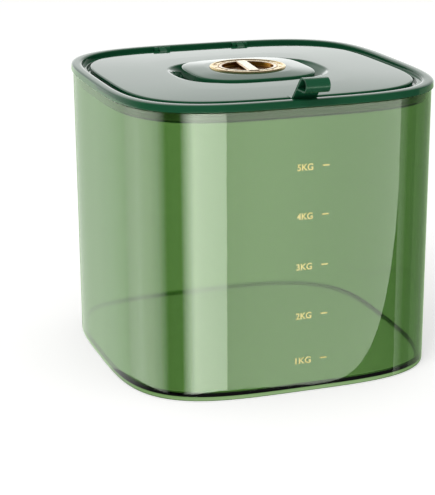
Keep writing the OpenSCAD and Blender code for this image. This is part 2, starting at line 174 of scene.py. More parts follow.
def buildWorld():
    world = bpy.data.worlds.new("studio")
    bpy.context.scene.world = world
    tree = emptyTree(world)
    path = addNode(tree, "ShaderNodeLightPath")
    place = addNode(tree, "ShaderNodeTexCoord")
    split = addNode(tree, "ShaderNodeSeparateXYZ", links={"Vector": place.outputs["Generated"]})
    ramps = {}
    for name, ends, before, after in (
        ("low", studio["lowEnds"], studio["backLow"] - studio["backMiddle"], 0.0),
        ("high", studio["highEnds"], studio["backMiddle"], studio["backHigh"]),
        ("below", studio["belowEnds"], studio["below"], 1.0),
    ):
        ramp = addNode(tree, "ShaderNodeMapRange", inputs={
            "From Min": ends[0], "From Max": ends[1], "To Min": before, "To Max": after,
        }, links={"Value": split.outputs["Z"]})
        ramps[name] = ramp.outputs["Result"]
    back = addNode(tree, "ShaderNodeMath", {"operation": "ADD"}, links={0: ramps["low"], 1: ramps["high"]})
    front = addNode(tree, "ShaderNodeMapRange", {"interpolation_type": "SMOOTHSTEP"}, {
        "From Min": 0.0, "From Max": 1.0, "To Min": studio["frontDim"], "To Max": 1.0,
    }, {"Value": split.outputs["Y"]})
    share = addNode(tree, "ShaderNodeMath", {"operation": "MULTIPLY"}, links={
        0: ramps["below"], 1: front.outputs["Result"]})
    glossy = addNode(tree, "ShaderNodeMath", {"operation": "MULTIPLY"}, links={
        0: back.outputs["Value"], 1: share.outputs["Value"]})
    seen = addNode(tree, "ShaderNodeMath", {"operation": "MAXIMUM"}, links={
        0: path.outputs["Is Camera Ray"], 1: path.outputs["Is Transmission Ray"]})
    soft = addNode(tree, "ShaderNodeMix", {"data_type": "FLOAT"}, {"A": studio["ambient"]}, {
        "Factor": path.outputs["Is Glossy Ray"], "B": glossy.outputs["Value"]})
    level = addNode(tree, "ShaderNodeMix", {"data_type": "FLOAT"}, {"B": 1.0}, {
        "Factor": seen.outputs["Value"], "A": soft.outputs["Result"]})
    light = addNode(tree, "ShaderNodeBackground", inputs={"Color": (1, 1, 1, 1)},
                    links={"Strength": level.outputs["Result"]})
    addNode(tree, "ShaderNodeOutputWorld", links={"Surface": light.outputs["Background"]})


def addStageMesh(name, corners, faces, material):
    mesh = bpy.data.meshes.new(name)
    mesh.from_pydata(corners, [], faces)
    mesh.materials.append(material)
    thing = addObject(name, mesh)
    return thing


# Coated paper, matt: soft shadows and no reflection. Through the clear wall it reads as an even white.
def buildFloor():
    material, tree, principled, output = newMaterial("floor paper matt", {
        "Base Color": linear(studio["floorColour"]), "Roughness": 0.9, "Specular IOR Level": 0.1})
    path = addNode(tree, "ShaderNodeLightPath")
    strength = addNode(tree, "ShaderNodeMath", {"operation": "MULTIPLY"}, {1: studio["floorGlow"]},
                       {0: path.outputs["Is Camera Ray"]})
    glow = addNode(tree, "ShaderNodeEmission", links={"Strength": strength.outputs["Value"]})
    lit = addNode(tree, "ShaderNodeAddShader", links={
        0: principled.outputs["BSDF"], 1: glow.outputs["Emission"]})
    white = addNode(tree, "ShaderNodeEmission", inputs={"Strength": 1.0})
    both = addNode(tree, "ShaderNodeMixShader", links={
        "Fac": path.outputs["Is Transmission Ray"], 1: lit.outputs["Shader"], 2: white.outputs["Emission"]})
    tree.links.new(both.outputs["Shader"], output.inputs["Surface"])
    half = studio["floorHalf"]
    floor = addStageMesh("floor", [(-half, -half, 0), (half, -half, 0), (half, half, 0), (-half, half, 0)],
                         [(0, 1, 2, 3)], material)
    floor.location.z = cadBounds[0].z - studio["floorGap"]
    floor.visible_glossy = False


def buildCards():
    start = -180
    for card in cards:
        material = bpy.data.materials.new(card["name"])
        tree = emptyTree(material)
        brightness = addNode(tree, "ShaderNodeAttribute", {"attribute_name": "glow"})
        tint = linear(card.get("tint", studio["cardTint"]))
        glow = addNode(tree, "ShaderNodeEmission", inputs={"Color": tint},
                       links={"Strength": brightness.outputs["Fac"]})
        addNode(tree, "ShaderNodeOutputMaterial", links={"Surface": glow.outputs["Emission"]})
        width = card["to"] - start
        steps = max(studio["cardSteps"], round(width))
        cornerWidth, cornerHeight, squareness = card.get("corner", (0, 0, 1))
        points = []
        glows = []
        for i in range(steps + 1):
            bearing = start + width * i / steps
            low = card.get("foot", studio["cardFoot"])
            if cornerWidth and bearing > card["to"] - cornerWidth:
                along = (bearing - card["to"] + cornerWidth) / cornerWidth
                low += cornerHeight * (1 - max(0, 1 - along ** squareness) ** (1 / squareness))
            x = studio["cardDistance"] * math.sin(math.radians(bearing))
            y = -studio["cardDistance"] * math.cos(math.radians(bearing))
            points += [(x, y, low), (x, y, card.get("top", studio["cardTop"]))]
            glows += [card["glow"][0] + (card["glow"][1] - card["glow"][0]) * i / steps] * 2
        faces = [(2 * i, 2 * i + 2, 2 * i + 3, 2 * i + 1) for i in range(steps)]
        thing = addStageMesh(card["name"], points, faces, material)
        thing.data.attributes.new("glow", "FLOAT", "POINT").data.foreach_set("value", glows)
        for kind in ("camera", "diffuse", "transmission", "volume_scatter", "shadow"):
            setattr(thing, "visible_" + kind, False)
        start = card["to"]


def addLamp():
    data = bpy.data.lights.new("softbox", "AREA")
    data.size = studio["lampSize"]
    data.energy = studio["lampPower"]
    lamp = addObject("softbox", data)
    lamp.location = studio["lampPlace"]
    aim = Vector(studio["lampAim"]) - lamp.location
    lamp.rotation_euler = aim.to_track_quat("-Z", "Y").to_euler()
    lamp.visible_glossy = False


# Outlines and meshes
outlineSteps = 288
outlineFineness = 40            # points tried on a corner for each one that is kept
outlineCache = {}
roundSteps = 192
smoothAngle = 32                # degrees: edges sharper than this stay hard
overcut = 1 * mm                # how far a cutter runs past the surface that it cuts
root = 0.5 * mm                 # how deep ribs and lugs are sunk in what carries them
fit = 0.05 * mm                 # between pieces that are pressed together


# Points spaced evenly along a superellipse that fits a square from -1 to 1
def unitOutline(squareness, steps=outlineSteps):
    key = (squareness, steps)
    if key in outlineCache:
        return outlineCache[key]
    quarter = steps // 4
    fine = outlineFineness * quarter
    power = 2 / squareness
    angles = [math.pi / 2 * i / fine for i in range(fine + 1)]
    dense = [(max(math.cos(a), 0) ** power, max(math.sin(a), 0) ** power) for a in angles]
    travelled = [0]
    for a, b in zip(dense, dense[1:]):
        travelled.append(travelled[-1] + math.dist(a, b))
    corner = []
    at = 0
    for i in range(quarter):
        wanted = travelled[-1] * i / quarter
        while travelled[at + 1] < wanted:
            at += 1
        share = (wanted - travelled[at]) / (travelled[at + 1] - travelled[at])
        corner.append([a + (b - a) * share for a, b in zip(dense[at], dense[at + 1])])
    points = []
    for turn in range(4):
        c, s = ((1, 0), (0, 1), (-1, 0), (0, -1))[turn]
        points += [(c * x - s * y, s * x + c * y) for x, y in corner]
    outlineCache[key] = points
    return points


def ring(halfX, halfY, squareness, z):
    return [(halfX * x, halfY * y, z) for x, y in unitOutline(squareness)]


def squareRings(section, squareness):
    return [ring(half, half, squareness, z) for half, z in section]


# Part of an ellipse as (half, z) pairs, from one angle to another in degrees
def bow(half, z, wide, high, start, end, steps):
    angles = [math.radians(start + (end - start) * i / steps) for i in range(steps + 1)]
    return [(half + wide * math.cos(a), z + high * math.sin(a)) for a in angles]


def arc(half, z, radius, start, end, steps):
    return bow(half, z, radius, radius, start, end, steps)


def newPiece(name, points, faces):
    mesh = bpy.data.meshes.new(name)
    mesh.from_pydata(points, [], faces)
    build = bmesh.new()
    build.from_mesh(mesh)
    bmesh.ops.recalc_face_normals(build, faces=build.faces)
    build.to_mesh(mesh)
    build.free()
    return addObject(name, mesh)


# Skin through a stack of rings. Endless joins the last ring to the first, otherwise both ends are capped.
def loft(name, rings, endless=False):
    steps = len(rings[0])
    points = [p for one in rings for p in one]
    faces = []
    for j in range(len(rings) if endless else len(rings) - 1):
        a = j * steps
        b = (j + 1) % len(rings) * steps
        for i in range(steps):
            k = (i + 1) % steps
            faces.append((a + i, a + k, b + k, b + i))
    if not endless:
        for start in (0, (len(rings) - 1) * steps):
            cap = points[start:start + steps]
            points.append(tuple(sum(p[axis] for p in cap) / steps for axis in range(3)))
            faces += [(start + i, start + (i + 1) % steps, len(points) - 1) for i in range(steps)]
    return newPiece(name, points, faces)


def rail(name, section, squareness):
    return loft(name, squareRings(section, squareness), endless=True)


# Skin of (radius, level) pairs turned round the Z axis
def revolve(name, section, z):
    turns = [2 * math.pi * i / roundSteps for i in range(roundSteps)]
    rings = [[(r * math.cos(a), r * math.sin(a), z + level) for a in turns] for r, level in section]
    return loft(name, rings, endless=section[0][0] > 0)


def block(low, high):
    corners = [(x, y, z) for x in (low[0], high[0]) for y in (low[1], high[1]) for z in (low[2], high[2])]
    faces = [(0, 1, 3, 2), (4, 6, 7, 5), (0, 4, 5, 1), (2, 3, 7, 6), (0, 2, 6, 4), (1, 5, 7, 3)]
    return newPiece("block", corners, faces)


# Flat outline of (y, z) pairs given a width along X
def slab(name, section, centreX, width):
    count = len(section)
    points = [(centreX + side * width / 2, y, z) for side in (-1, 1) for y, z in section]
    faces = [tuple(range(count)), tuple(range(count, 2 * count))]
    faces += [(i, (i + 1) % count, count + (i + 1) % count, count + i) for i in range(count)]
    return newPiece(name, points, faces)


def rod(centre, radius, length):
    return slab("rod", arc(centre[1], centre[2], radius, 0, 360, 48)[:-1], centre[0], length)


def finishedMesh(thing):
    graph = bpy.context.evaluated_depsgraph_get()
    return bpy.data.meshes.new_from_object(thing.evaluated_get(graph))


def applyModifiers(piece):
    mesh = finishedMesh(piece)
    piece.modifiers.clear()
    piece.data = mesh


def combine(piece, operation, others):
    for other in others:
        modifier = piece.modifiers.new(operation.lower(), "BOOLEAN")
        modifier.operation = operation
        modifier.solver = "EXACT"
        modifier.object = other
    applyModifiers(piece)
    for other in others:
        bpy.data.objects.remove(other)


def breakEdges(piece, width, angle=40, segments=3):
    modifier = piece.modifiers.new("bevel", "BEVEL")
    modifier.width = width
    modifier.segments = segments
    modifier.limit_method = "ANGLE"
    modifier.angle_limit = math.radians(angle)
    applyModifiers(piece)


# Takes out the faces without area that a boolean or a bevel leaves behind
def cleanMesh(mesh, smallest=0.002 * mm):
    build = bmesh.new()
    build.from_mesh(mesh)
    bmesh.ops.remove_doubles(build, verts=build.verts, dist=smallest)
    bmesh.ops.dissolve_degenerate(build, dist=smallest, edges=build.edges)
    build.to_mesh(mesh)
    build.free()


def setPiece(piece, material, body, nodes=()):
    cleanMesh(piece.data)
    piece.data.materials.clear()
    piece.data.materials.append(material)
    piece.data.shade_smooth()
    piece.data.set_sharp_from_angle(angle=math.radians(smoothAngle))
    weights = piece.modifiers.new("normals", "WEIGHTED_NORMAL")
    weights.keep_sharp = True
    applyModifiers(piece)
    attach(piece, body)
    if nodes:
        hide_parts(*nodes)
    print("made", piece.name)


# Materials. Grain and depth are the size and height of a surface's pattern. Other is the second colour.
mottle = {"size": 40 * mm, "noise": (0.3, 0.7), "spread": (0.85, 1.25)}
# SAN, injection moulded and polished: glass-clear and tinted in the mass, so that thick edges go dark.
# Its gloss varies a little over patches of 30 mm.
clearSan = {"tint": "8ABC46", "density": 560, "ior": 1.52, "roughness": 0.015, "patch": 30 * mm,
            "spread": (0.6, 1.4)}
# ABS, injection moulded in a polished tool: deep gloss with a faint orange peel
glossyAbs = {"colour": "1C5A3A", "other": "154B30", "ior": 1.42, "roughness": 0.06, "grain": 2.2 * mm,
             "depth": 0.004 * mm}
# ABS, moulded in a finely blasted tool: satin, so that the grip keeps no hard reflections
satinAbs = {"colour": "1F6040", "other": "184F34", "ior": 1.42, "roughness": 0.24, "grain": 1.2 * mm,
            "depth": 0.004 * mm}
# Plated ABS, satin bright: pale champagne gold. Its brushing is drawn at 0.8 mm, as the real one can't show.
goldPlate = {"colour": "F0D9A6", "other": "E8CC92", "roughness": 0.2, "grain": 0.8 * mm,
             "depth": 0.003 * mm, "metallic": 1.0}
# Plated ABS, bright: old gold in the wells. The tops of the bar and the rim are painted pale, a painted
# reflection of the white backdrop.
# Its ripple is drawn coarse and deep, so that the wells glint.
deepGoldPlate = {"colour": "C08A30", "other": "8A5A1C", "roughness": 0.16, "grain": 1.6 * mm,
                 "depth": 0.15 * mm, "metallic": 1.0,
                 "paintedReflection": {"colour": "EADBBE", "from": 189.7 * mm, "to": 190.1 * mm}}
# Silicone, moulded: milky and slightly dull
milkySilicone = {"colour": "C8D0C6", "other": "BCC6BA", "ior": 1.46, "roughness": 0.45, "grain": 1.5 * mm,
                 "depth": 0.02 * mm}
# Stainless wire, drawn: soft gloss. A grain of 0.2 mm stands for its drawing lines, which can't show.
drawnSteel = {"colour": "C6C8CC", "other": "B4B6BA", "roughness": 0.28, "grain": 0.2 * mm,
              "depth": 0.003 * mm, "metallic": 1.0}
# Polypropylene, moulded, natural: waxy off-white
naturalPp = {"colour": "DCE0D8", "other": "D2D8CE", "ior": 1.46, "roughness": 0.38, "grain": 1.2 * mm,
             "depth": 0.01 * mm}
# Polyester fleece, spun-bonded: matt. Its fibres are drawn at 0.6 mm, so that they can show.
spunFleece = {"colour": "EFEFEA", "other": "E2E2DC", "ior": 1.46, "roughness": 0.85, "grain": 0.6 * mm,
              "depth": 0.08 * mm}
# Screen ink with gold pigment: thin and pale, with a soft sheen
goldInk = {"colour": "FFF6B4", "other": "FFEC98", "ior": 1.46, "roughness": 0.4, "grain": 0.3 * mm,
           "depth": 0.002 * mm}
# Screen ink with brown pigment: thin and dull
brownInk = {"colour": "9A5A22", "other": "824818", "ior": 1.46, "roughness": 0.5, "grain": 0.3 * mm,
            "depth": 0.002 * mm}


# Roughness that follows a noise within a spread
def varyRoughness(tree, principled, noise, roughness, spread):
    rough = addNode(tree, "ShaderNodeMapRange", inputs={
        "From Min": mottle["noise"][0], "From Max": mottle["noise"][1], "To Min": roughness * spread[0],
        "To Max": roughness * spread[1]}, links={"Value": noise.outputs["Fac"]})
    tree.links.new(rough.outputs["Result"], principled.inputs["Roughness"])


def makeClearSan():
    material, tree, principled, output = newMaterial("SAN moulded clear green", {
        "Base Color": (1, 1, 1, 1), "IOR": clearSan["ior"], "Transmission Weight": 1.0})
    place = addNode(tree, "ShaderNodeTexCoord")
    haze = addNode(tree, "ShaderNodeTexNoise", inputs={"Scale": 1 / clearSan["patch"], "Detail": 2.0},
                   links={"Vector": place.outputs["Object"]})
    varyRoughness(tree, principled, haze, clearSan["roughness"], clearSan["spread"])
    absorb = addNode(tree, "ShaderNodeVolumeAbsorption", inputs={
        "Color": linear(clearSan["tint"]), "Density": clearSan["density"]})
    tree.links.new(absorb.outputs["Volume"], output.inputs["Volume"])
    return material


# Opaque moulding with a slight mottle in its colour, roughness and surface
def makeMoulding(name, recipe):
    material, tree, principled = newMaterial(name, {"Metallic": recipe.get("metallic", 0.0)})[:3]
    if "ior" in recipe:
        principled.inputs["IOR"].default_value = recipe["ior"]
    place = addNode(tree, "ShaderNodeTexCoord")
    cloud = addNode(tree, "ShaderNodeTexNoise", inputs={"Scale": 1 / mottle["size"], "Detail": 3.0},
                    links={"Vector": place.outputs["Object"]})
    colour = addNode(tree, "ShaderNodeMix", {"data_type": "RGBA"}, {
        "A": linear(recipe["colour"]), "B": linear(recipe["other"])}, {"Factor": cloud.outputs["Fac"]})
    # Painted reflection: above a level the colour blends to pale, as if the tops reflected the white
    # backdrop
    if "paintedReflection" in recipe:
        paintedReflection = recipe["paintedReflection"]
        split = addNode(tree, "ShaderNodeSeparateXYZ", links={"Vector": place.outputs["Object"]})
        height = addNode(tree, "ShaderNodeMapRange", inputs={
            "From Min": paintedReflection["from"], "From Max": paintedReflection["to"]}, links={"Value": split.outputs["Z"]})
        colour = addNode(tree, "ShaderNodeMix", {"data_type": "RGBA"}, {"B": linear(paintedReflection["colour"])}, {
            "Factor": height.outputs["Result"], "A": colour.outputs["Result"]})
    tree.links.new(colour.outputs["Result"], principled.inputs["Base Color"])
    varyRoughness(tree, principled, cloud, recipe["roughness"], mottle["spread"])
    ripple = addNode(tree, "ShaderNodeTexNoise", inputs={"Scale": 1 / recipe["grain"], "Detail": 2.0},
                     links={"Vector": place.outputs["Object"]})
    bump = addNode(tree, "ShaderNodeBump", inputs={"Strength": 1.0, "Distance": recipe["depth"]},
                   links={"Height": ripple.outputs["Fac"]})
    tree.links.new(bump.outputs["Normal"], principled.inputs["Normal"])
    return material


clearGreen = makeClearSan()
darkGreen = makeMoulding("ABS moulded gloss green", glossyAbs)
paleGold = makeMoulding("plated ABS pale gold", goldPlate)
deepGold = makeMoulding("plated ABS deep gold", deepGoldPlate)
satinGreen = makeMoulding("ABS moulded satin green", satinAbs)
silicone = makeMoulding("silicone moulded milky", milkySilicone)
steel = makeMoulding("stainless drawn", drawnSteel)
naturalPlastic = makeMoulding("polypropylene moulded natural", naturalPp)
fleece = makeMoulding("polyester spun-bonded fleece", spunFleece)
printGold = makeMoulding("screen ink gold", goldInk)
printBrown = makeMoulding("screen ink brown", brownInk)
print("materials made")

buildWorld()
buildFloor()
buildCards()
addLamp()
print("studio lit")

# Bin
binShape = {
    "squareness": 3.7,
    "wall": 2.6 * mm,
    "floor": 2.2 * mm,
    "relief": 2.0 * mm,         # hollow under the floor
    "footWidth": 1.8 * mm,
    "footStep": 0.7 * mm,
    "draft": 1.0 * mm,
    "footRadius": 0.9 * mm,
    "floorRadius": 2.2 * mm,
    "lip": 0.8 * mm,
    "hub": 6 * mm,              # where the rings of the floor stop and its caps begin
    "wallRings": (0.25, 0.5, 0.75),
}


# Soft step from one level to another, as (half, z) pairs
def softStep(start, end, steps=6):
    pairs = []
    for i in range(steps + 1):
        t = i / steps
        blend = t * t * (3 - 2 * t)
        pairs.append((start[0] + (end[0] - start[0]) * t, start[1] + (end[1] - start[1]) * blend))
    return pairs


def makeBin():
    low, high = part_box("bin_body")
    half = high.x
    mouth = high.z
    shape = binShape
    foot = half - shape["draft"]
    footIn = foot - shape["footRadius"] - shape["footWidth"]
    floorTop = low.z + shape["relief"] + shape["floor"]
    lip = shape["lip"] / 2
    radius = shape["floorRadius"]
    inner = half - shape["draft"] * (1 - floorTop / mouth) - shape["wall"] - radius
    section = [(shape["hub"], shape["relief"])]
    section += softStep((footIn - shape["footStep"], shape["relief"]), (footIn, low.z))
    section += arc(foot - shape["footRadius"], shape["footRadius"], shape["footRadius"], -90, 0, 10)
    section += [(foot + shape["draft"] * t, mouth * t) for t in shape["wallRings"]]
    section += arc(half - lip, mouth - lip, lip, 0, 90, 5)
    section += arc(half - shape["wall"] + lip, mouth - lip, lip, 90, 180, 5)
    section += [(half - shape["wall"] - shape["draft"] * t, mouth * (1 - t)) for t in shape["wallRings"]]
    section += arc(inner, floorTop + radius, radius, 0, -90, 14)
    section += [(shape["hub"], floorTop)]
    piece = loft("binBody", squareRings(section, shape["squareness"]))
    setPiece(piece, clearGreen, "bin", ["bin_body"])


makeBin()

# Lid frame, with the sizes that the panel and the pad share with it
frameShape = {
    "bandHeight": 4.6 * mm,
    "crestWidth": 6.4 * mm,
    "crestDrop": 0.9 * mm,
    "crestSquareness": 3.0,
    "crestSteps": 32,
    "bandDraft": 0.1 * mm,
    "stepWidth": 3.2 * mm,
    "stepDrop": 3.8 * mm,
    "ledgeWidth": 8.8 * mm,
    "ledgeThickness": 2.2 * mm,
    "skirtThickness": 2.3 * mm,
    "sleeve": 1.55 * mm,
    "flange": 0.7 * mm,
    "flangeHeight": 1 * mm,
    "edge": 0.4 * mm,
    "soft": 0.6 * mm,
    "seat": 0.3 * mm,           # clearance between pieces that rest on each other
    "tabGap": 0.6 * mm,
}
hingeShape = {
    "knuckle": 1.7 * mm,
    "knuckleWidth": 5 * mm,
    "lugWidth": 3 * mm,
    "pinHole": 0.85 * mm,
    "armReach": 3 * mm,         # how far the arm runs into the panel
    "armDrop": 0.1 * mm,        # from the panel's edge to the top of the arm there
}
panelShape = {
    "slope": 0.6,               # degrees that the panel rises towards the pull tab
    "drop": 2.3 * mm,           # from the crest of the frame to the back edge of the panel
    "gap": 2.1 * mm,            # between the step of the frame and the panel
    "thickness": 2.9 * mm,
    "crown": 0.5 * mm,
    "crownPower": 2.4,
    "crownInner": 0.62,         # share of the panel's half-width where its square rings stop
    "crownSteps": 14,
    "sealInset": 2.1 * mm,
    "sealWidth": 3.4 * mm,
    "grooveDepth": 1.0 * mm,
    "ribGap": 1.3 * mm,
    "ribHeight": 3.2 * mm,
    "ribThickness": 2.2 * mm,
    "stiffPitch": 44 * mm,
    "stiffHeight": 1.6 * mm,
    "wellDepth": 5.5 * mm,
    "shelf": 7 * mm,
    "scoop": 8 * mm,
    "scoopLips": [(2.6, 1.6, 0.05), (1.2, 0.8, 0.12), (0.5, 0.35, 0.35)],  # mm sideways, forwards and down
    "scoopSoftness": 0.5,       # how much rounder the scoops are than the pad
    "scoopDrop": 0.9 * mm,
    "scoopPower": 1.15,
    "scoopDraft": 0.15 * mm,
    "scoopSkin": 1 * mm,
    "scoopSteps": 8,
    "pocketDepth": 14 * mm,
    "pocketWall": 2 * mm,
    "slot": 3 * mm,
    "slotReach": 0.76,          # share of the pocket's half-width
}
padShape = {
    "width": 81 * mm,
    "squareness": 3.2,
    "gap": 1.5 * mm,
    "rise": 1.1 * mm,
    "crown": 1.0 * mm,
    "crownPower": 1.2,
    "crownSteps": 12,
    "sideRadius": 0.9 * mm,
    "edge": 0.4 * mm,
    "wall": 1.6 * mm,
    "land": 1.2 * mm,           # between the crown's last ring and the recess
    "recessBreak": (1.004, 0.12 * mm),  # the recess's mouth: its widening and its depth
}


def hingeAxis():
    low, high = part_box("hinge_pin_right")
    return (low + high) / 2


# Half-widths and levels of the lid before the panel is sloped
def lidLevels():
    low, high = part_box("lid_frame")
    f, p, d = frameShape, panelShape, padShape
    half, crest = high.x, high.z
    inner = half - f["crestWidth"] - f["stepWidth"]
    edge = crest - p["drop"]
    rim = edge + p["crown"]
    shelf = rim - p["wellDepth"]
    padHalf = d["width"] / 2
    return {
        "half": half, "crest": crest, "band": crest - f["bandHeight"], "skirt": low.z,
        "step": crest - f["stepDrop"], "inner": inner, "mouth": inner - f["ledgeWidth"],
        "ledge": edge - p["thickness"] - 2 * f["seat"],
        "panel": inner - p["gap"], "edge": edge, "rim": rim, "under": edge - p["thickness"],
        "well": padHalf + d["gap"], "shelf": shelf, "pocket": padHalf - p["shelf"],
        "pocketZ": shelf - p["pocketDepth"],
        "pad": padHalf, "padFoot": shelf + 2 * f["seat"], "padEdge": rim + d["rise"],
        "padTop": rim + d["rise"] + d["crown"],
    }


lid = lidLevels()
hinge = hingeAxis()


# Turns a piece about the hinge by the slope of the panel
def slopeWithPanel(piece):
    turn = Matrix.Rotation(-math.radians(panelShape["slope"]), 4, "X")
    piece.data.transform(Matrix.Translation(hinge) @ turn @ Matrix.Translation(-hinge))


def makeLidFrame():
    s = frameShape
    half, crest, band, step, ledge = lid["half"], lid["crest"], lid["band"], lid["step"], lid["ledge"]
    inner, mouth = lid["inner"], lid["mouth"]
    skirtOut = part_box("frame_seal")[1].x - s["sleeve"]
    skirtIn = skirtOut - s["skirtThickness"]
    middle = half - s["crestWidth"] / 2
    crown = crest - s["crestDrop"]
    soft, edge = s["soft"], s["edge"]
    crestSection = arc(half - edge, band + edge, edge, -90, 0, 3)
    power = 2 / s["crestSquareness"]
    for i in range(s["crestSteps"] + 1):
        turn = math.pi * i / s["crestSteps"]
        c, h = math.cos(turn), math.sin(turn)
        across = math.copysign(abs(c) ** power, c)
        reach = s["crestWidth"] / 2 - (s["bandDraft"] if c > 0 else 0)
        crestSection.append((middle + reach * across, crown + s["crestDrop"] * h ** power))
    ledgeSection = arc(half - s["crestWidth"] - edge, step + edge, edge, 0, -90, 3)
    ledgeSection += arc(inner + soft, step - soft, soft, 90, 180, 6)
    ledgeSection += [(inner, ledge)]
    ledgeSection += arc(mouth + edge, ledge - edge, edge, 90, 180, 3)
    ledgeSection += [(mouth, ledge - s["ledgeThickness"]), (skirtIn, ledge - s["ledgeThickness"])]
    flangeOut = skirtOut + s["flange"]
    flangeTop = lid["skirt"] + s["flangeHeight"]
    skirtSection = [(skirtIn, lid["skirt"]), (flangeOut, lid["skirt"]), (flangeOut, flangeTop)]
    skirtSection += [(skirtOut, flangeTop), (skirtOut, band)]
    square = binShape["squareness"]
    rise = math.tan(math.radians(panelShape["slope"]))
    rings = squareRings(crestSection, square)
    for one in squareRings(ledgeSection, square):
        rings.append([(x, y, z + (hinge.y - y) * rise) for x, y, z in one])
    rings += squareRings(skirtSection, square)
    piece = loft("lidFrame", rings, endless=True)
    h = hingeShape
    foot = step - root
    back = half - s["crestWidth"] + root
    armZ = lid["under"] + panelShape["thickness"] / 2
    lugs = []
    pockets = []
    for side in (-1, 1):
        x = side * hinge.x
        reach = h["knuckleWidth"] / 2 + s["seat"]
        for turn in (-1, 1):
            outline = arc(hinge.y, hinge.z, h["knuckle"], 9, 180, steps=19)
            outline += [(hinge.y - h["knuckle"], foot), (back, foot), (back, hinge.z)]
            lugs.append(slab("lug", outline, x + turn * (reach + h["lugWidth"] / 2), h["lugWidth"]))
        pockets.append(block((x - reach, lid["panel"] - s["ledgeWidth"] / 2, armZ - 2 * s["seat"]),
                             (x + reach, hinge.y + h["knuckle"] + s["seat"], crest + overcut)))
    combine(piece, "UNION", lugs)
    notch = slab("notch", tabOutline(s["tabGap"]), 0, tabShape["width"] + 2 * s["tabGap"])
    slopeWithPanel(notch)
    combine(piece, "DIFFERENCE", pockets + [notch])
    setPiece(piece, darkGreen, "lid", ["lid_frame"])


# Pull tab
tabShape = {
    "width": 15.5 * mm,
    "thickness": 1.8 * mm,
    "slope": 46,                # degrees from level
    "overlap": 0.2 * mm,        # of the strip with the crest's inner edge and with its own tongue
    "curlWall": 1.0 * mm,
    "curlHeight": 8.8 * mm,
    "curlLength": 11 * mm,
    "curlRise": 4.2 * mm,       # from the crest to the underside of the curl
    "bendRadius": 4 * mm,       # where the strip turns over into the curl
    "hollowGap": 0.4 * mm,      # from the strip's front to the hollow of the curl
    "hollowCorners": (0.5 * mm, 0.3 * mm),  # its lower and upper corner at the strip
    "footThickness": 1.2 * mm,
    "footLength": 4.5 * mm,
    "notchHeight": 3 * mm,      # of the cut in the panel that takes the tongue
    "edge": 0.2 * mm,
}
curlZ = lid["crest"] + tabShape["curlRise"]
tabFoot = lid["edge"] - tabShape["footThickness"] + tabShape["overlap"]


# Where the front face of the strip is at a level
def stripFront(z):
    lift = (lid["half"] + hinge.y) * math.tan(math.radians(panelShape["slope"]))
    start = -lid["half"] + frameShape["crestWidth"] - tabShape["overlap"]
    return start - (z + lift - lid["crest"]) / math.tan(math.radians(tabShape["slope"]))


# Outline of the strip and its curl, grown by gap
def tabOutline(gap=0.0):
    t = tabShape
    slope = math.radians(t["slope"])
    front = gap / math.sin(slope)
    back = (t["thickness"] + gap) / math.sin(slope)
    top = curlZ + t["curlHeight"] + gap
    bend = t["bendRadius"] + gap
    turnY = stripFront(top) + back - bend * math.tan(slope / 2)
    noseRadius = t["curlHeight"] / 2
    noseY = stripFront(curlZ) - t["curlLength"]
    pairs = [(stripFront(tabFoot) - front, tabFoot), (stripFront(tabFoot) + back, tabFoot)]
    pairs += arc(turnY, top - bend, bend, 90 - t["slope"], 90, 10)
    pairs += arc(noseY, curlZ + noseRadius, noseRadius + gap, 90, 270, 32)
    pairs += [(stripFront(curlZ - gap) - front, curlZ - gap)]
    return pairs


def makePullTab():
    t = tabShape
    noseRadius = t["curlHeight"] / 2
    noseY = stripFront(curlZ) - t["curlLength"]
    low = curlZ + t["curlWall"]
    high = curlZ + t["curlHeight"] - t["curlWall"]
    lowY = stripFront(low) - t["hollowGap"]
    highY = stripFront(high) - t["hollowGap"]
    lowCorner, highCorner = t["hollowCorners"]
    hollow = arc(noseY, curlZ + noseRadius, noseRadius - t["curlWall"], 90, 270, 28)
    hollow += [(lowY - lowCorner, low), (lowY, low + lowCorner)]
    hollow += [(highY, high - highCorner), (highY - lowCorner, high)]
    piece = slab("pullTab", tabOutline(), 0, t["width"])
    under = lid["edge"] - t["footThickness"]
    tongue = block((-t["width"] / 2, stripFront(tabFoot), under),
                   (t["width"] / 2, -lid["panel"] + t["footLength"], lid["edge"] + t["overlap"]))
    combine(piece, "UNION", [tongue])
    combine(piece, "DIFFERENCE", [slab("hollow", hollow, 0, 2 * t["width"])])
    breakEdges(piece, t["edge"])
    slopeWithPanel(piece)
    setPiece(piece, satinGreen, "panel", ["pull_tab"])


makeLidFrame()
makePullTab()


# Level of the panel's top on a square ring of it
def crownLevel(half):
    power = panelShape["crownPower"]
    wellShare = (lid["well"] / lid["panel"]) ** power
    share = ((half / lid["panel"]) ** power - wellShare) / (1 - wellShare)
    return lid["rim"] - panelShape["crown"] * share


def slotCutters(reach, low, high):
    p = panelShape
    count = int(reach / p["slot"])
    pitch = 2 * reach / count
    cutters = []
    for i in range(count):
        x = (i + 0.5) * pitch - reach
        cutters.append(block((x - p["slot"] / 2, -reach, low), (x + p["slot"] / 2, reach, high)))
    return cutters


